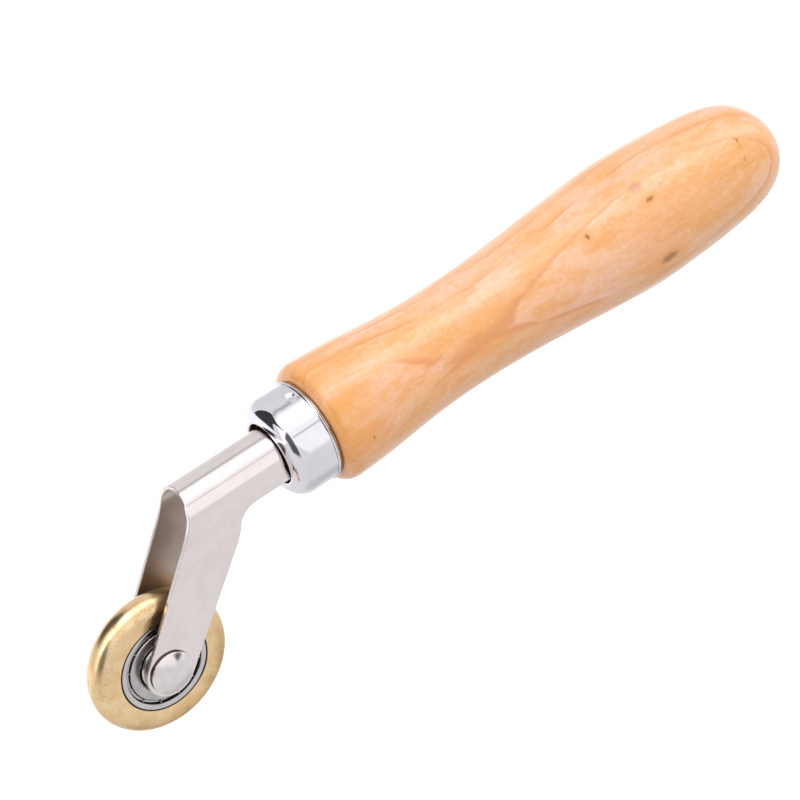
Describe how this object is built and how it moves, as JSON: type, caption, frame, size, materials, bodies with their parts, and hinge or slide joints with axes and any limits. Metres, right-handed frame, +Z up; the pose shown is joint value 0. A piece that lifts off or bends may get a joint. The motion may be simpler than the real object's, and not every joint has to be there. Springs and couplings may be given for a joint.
{
  "type": "hand roller tool",
  "caption": "Hand seam roller: narrow brass wheel on a ball bearing in a bent sheet-metal fork, with a metal ferrule and a turned wooden handle.",
  "frame": {"origin": "bottom centre of the whole tool's box, on the surface that the tool lies on", "axes": "+X along the handle towards its butt, +Y away from the wheel towards the handle, +Z up; the tool lies on its side, so the axle leans 10 degrees from +Z and the handle rises 0.9 degree towards its butt"},
  "size_m": [0.181, 0.0556, 0.0281],
  "materials": {
    "handle_wood": "turned light hardwood under clear gloss lacquer",
    "ferrule_chrome": "polished chrome plate",
    "fork_nickel": "satin nickel-plated sheet steel",
    "rivet_steel": "polished nickel-plated steel",
    "wheel_brass": "satin turned brass",
    "bearing_steel": "ground bearing steel",
    "pressed_steel": "pressed sheet steel"
  },
  "bodies": {
    "handle_and_fork": {"handle": "handle_wood", "ferrule": "ferrule_chrome", "fork": "fork_nickel", "axle_rivet": "rivet_steel", "spacer_washer_near": "rivet_steel", "spacer_washer_far": "rivet_steel", "bearing_inner_ring": "bearing_steel"},
    "wheel": {"brass_wheel": "wheel_brass", "bearing_outer_ring": "bearing_steel", "bearing_shield_near": "pressed_steel", "bearing_shield_far": "pressed_steel"},
    "cage": {"cage_half_near": "pressed_steel", "cage_half_far": "pressed_steel"},
    "ball_1": {"bearing_ball_1": "bearing_steel"},
    "ball_2": {"bearing_ball_2": "bearing_steel"},
    "ball_3": {"bearing_ball_3": "bearing_steel"},
    "ball_4": {"bearing_ball_4": "bearing_steel"},
    "ball_5": {"bearing_ball_5": "bearing_steel"},
    "ball_6": {"bearing_ball_6": "bearing_steel"},
    "ball_7": {"bearing_ball_7": "bearing_steel"}
  },
  "joints": [
    {"name": "wheel_spin", "type": "hinge", "parent": "handle_and_fork", "child": "wheel", "pos_m": [-0.07548, -0.01307, 0.00734], "axis": [-0.0149, -0.1746, 0.9845], "continuous": true},
    {"name": "cage_spin", "type": "hinge", "parent": "handle_and_fork", "child": "cage", "pos_m": [-0.07548, -0.01307, 0.00734], "axis": [-0.0149, -0.1746, 0.9845], "continuous": true},
    {"name": "ball_1_spin", "type": "hinge", "parent": "cage", "child": "ball_1", "pos_m": [-0.06923, -0.01307, 0.00744], "axis": [-0.0149, -0.1746, 0.9845], "continuous": true},
    {"name": "ball_2_spin", "type": "hinge", "parent": "cage", "child": "ball_2", "pos_m": [-0.0716, -0.00826, 0.00825], "axis": [-0.0149, -0.1746, 0.9845], "continuous": true},
    {"name": "ball_3_spin", "type": "hinge", "parent": "cage", "child": "ball_3", "pos_m": [-0.07688, -0.00707, 0.00838], "axis": [-0.0149, -0.1746, 0.9845], "continuous": true},
    {"name": "ball_4_spin", "type": "hinge", "parent": "cage", "child": "ball_4", "pos_m": [-0.08112, -0.0104, 0.00773], "axis": [-0.0149, -0.1746, 0.9845], "continuous": true},
    {"name": "ball_5_spin", "type": "hinge", "parent": "cage", "child": "ball_5", "pos_m": [-0.0811, -0.01574, 0.00678], "axis": [-0.0149, -0.1746, 0.9845], "continuous": true},
    {"name": "ball_6_spin", "type": "hinge", "parent": "cage", "child": "ball_6", "pos_m": [-0.07685, -0.01907, 0.00626], "axis": [-0.0149, -0.1746, 0.9845], "continuous": true},
    {"name": "ball_7_spin", "type": "hinge", "parent": "cage", "child": "ball_7", "pos_m": [-0.07157, -0.01788, 0.00655], "axis": [-0.0149, -0.1746, 0.9845], "continuous": true}
  ],
  "couplings": [
    {"joint": "cage_spin", "follows": "wheel_spin", "ratio": 0.64},
    {"joint": "ball_1_spin", "follows": "wheel_spin", "ratio": 1.6457},
    {"joint": "ball_2_spin", "follows": "wheel_spin", "ratio": 1.6457},
    {"joint": "ball_3_spin", "follows": "wheel_spin", "ratio": 1.6457},
    {"joint": "ball_4_spin", "follows": "wheel_spin", "ratio": 1.6457},
    {"joint": "ball_5_spin", "follows": "wheel_spin", "ratio": 1.6457},
    {"joint": "ball_6_spin", "follows": "wheel_spin", "ratio": 1.6457},
    {"joint": "ball_7_spin", "follows": "wheel_spin", "ratio": 1.6457}
  ]
}
